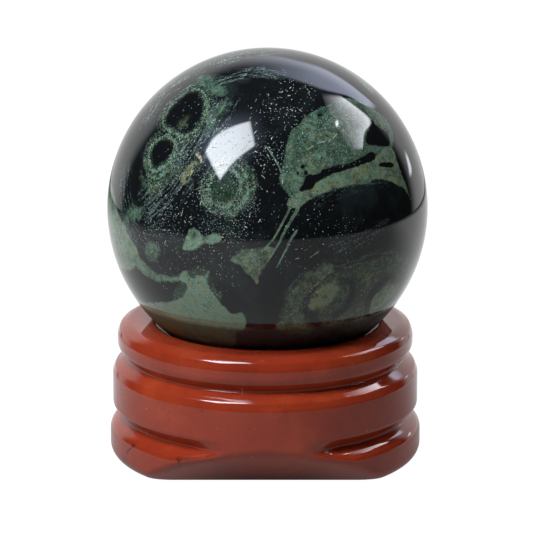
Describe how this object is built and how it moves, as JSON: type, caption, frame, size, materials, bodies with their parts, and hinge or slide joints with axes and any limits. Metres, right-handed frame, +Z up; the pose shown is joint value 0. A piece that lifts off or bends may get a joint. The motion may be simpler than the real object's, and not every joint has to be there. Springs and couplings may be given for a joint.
{
  "type": "polished stone ball on a carved stone stand",
  "caption": "Polished kambaba jasper ball resting in a turned red jasper stand with a dished seat, a ring, a band and a foot hollowed front and back.",
  "frame": {"origin": "on the surface that the stand stands on, straight under the ball's centre", "axes": "+Z up through the ball's centre; -Y out through the middle of one of the two ground hollows of the foot; +X to the right"},
  "size_m": [0.05, 0.05, 0.0647],
  "materials": {
    "kambaba_jasper": "high polish, near black with green orbs, patches and veins and small pale pits",
    "red_jasper": "high polish, warm brick red with faint clouds, hairline cracks and dark specks"
  },
  "bodies": {
    "root": {"ball": "kambaba_jasper", "stand": "red_jasper"}
  },
  "joints": []
}
